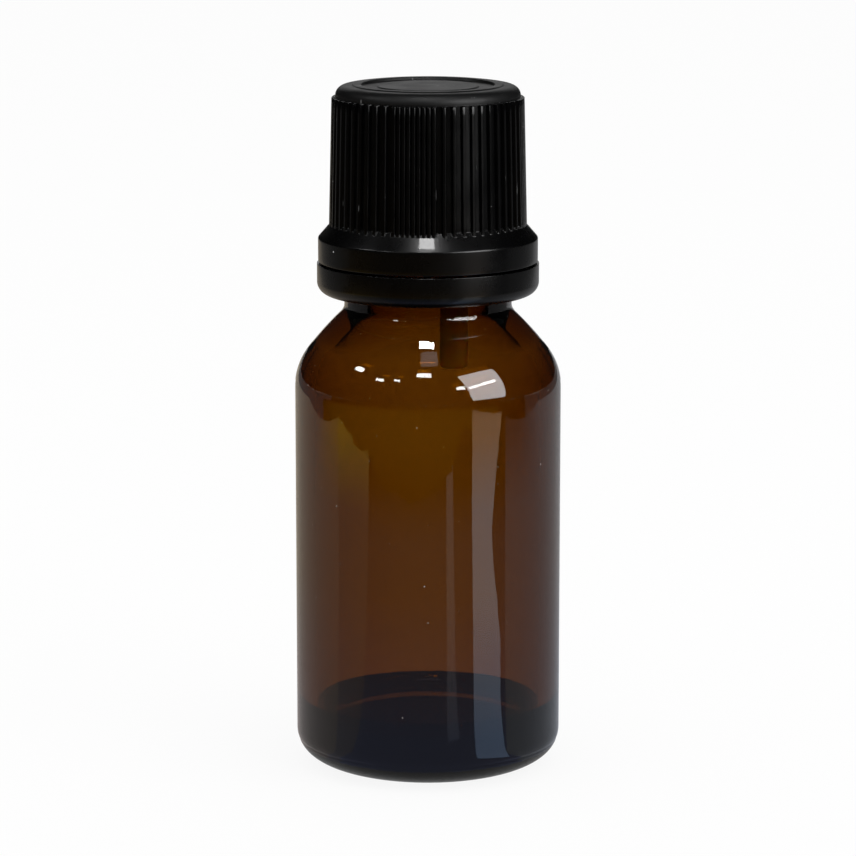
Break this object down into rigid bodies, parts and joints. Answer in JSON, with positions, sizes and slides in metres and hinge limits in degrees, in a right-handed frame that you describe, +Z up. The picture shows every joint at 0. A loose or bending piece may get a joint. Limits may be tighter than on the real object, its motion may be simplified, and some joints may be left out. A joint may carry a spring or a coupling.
{
  "type": "dropper bottle",
  "caption": "Small amber glass bottle with a push-in vertical dropper insert and a ribbed black screw cap with a tamper-evident ring.",
  "frame": {"origin": "on the bottle's axis, in the plane of the table that it stands on", "axes": "+Z up along the bottle's axis; the pictured front faces -Y; the vent tube lies on the +X side of the axis"},
  "size_m": [0.0286, 0.0286, 0.0738],
  "materials": {
    "amber_glass": "clear amber moulded glass, polished, with a mould seam low on the heel",
    "natural_polyethylene": "translucent natural polyethylene, soft satin",
    "white_foam": "white foamed polyethylene sheet, matt",
    "black_cap": "black polypropylene, satin on the crown and ribs, polished on the flare and band, fine dust and scuffs",
    "black_ring": "black polypropylene, polished"
  },
  "bodies": {
    "bottle": {"glass_bottle": "amber_glass", "dropper_insert": "natural_polyethylene"},
    "seal": {"cap_liner": "white_foam"},
    "cap": {"screw_cap": "black_cap"},
    "ring": {"tamper_ring": "black_ring"}
  },
  "joints": [
    {"name": "cap_rise", "type": "slide", "parent": "bottle", "child": "seal", "axis": [0, 0, 1], "range_m": [0, 0.01652]},
    {"name": "cap_turn", "type": "hinge", "parent": "seal", "child": "cap", "pos_m": [0, 0, 0.06], "axis": [0, 0, 1], "range_deg": [0, 1980]},
    {"name": "ring_spin", "type": "hinge", "parent": "bottle", "child": "ring", "pos_m": [0, 0, 0.053], "axis": [0, 0, 1], "continuous": true}
  ],
  "couplings": [
    {"joint": "cap_rise", "follows": "cap_turn", "m_per_rad": 0.00047746}
  ]
}
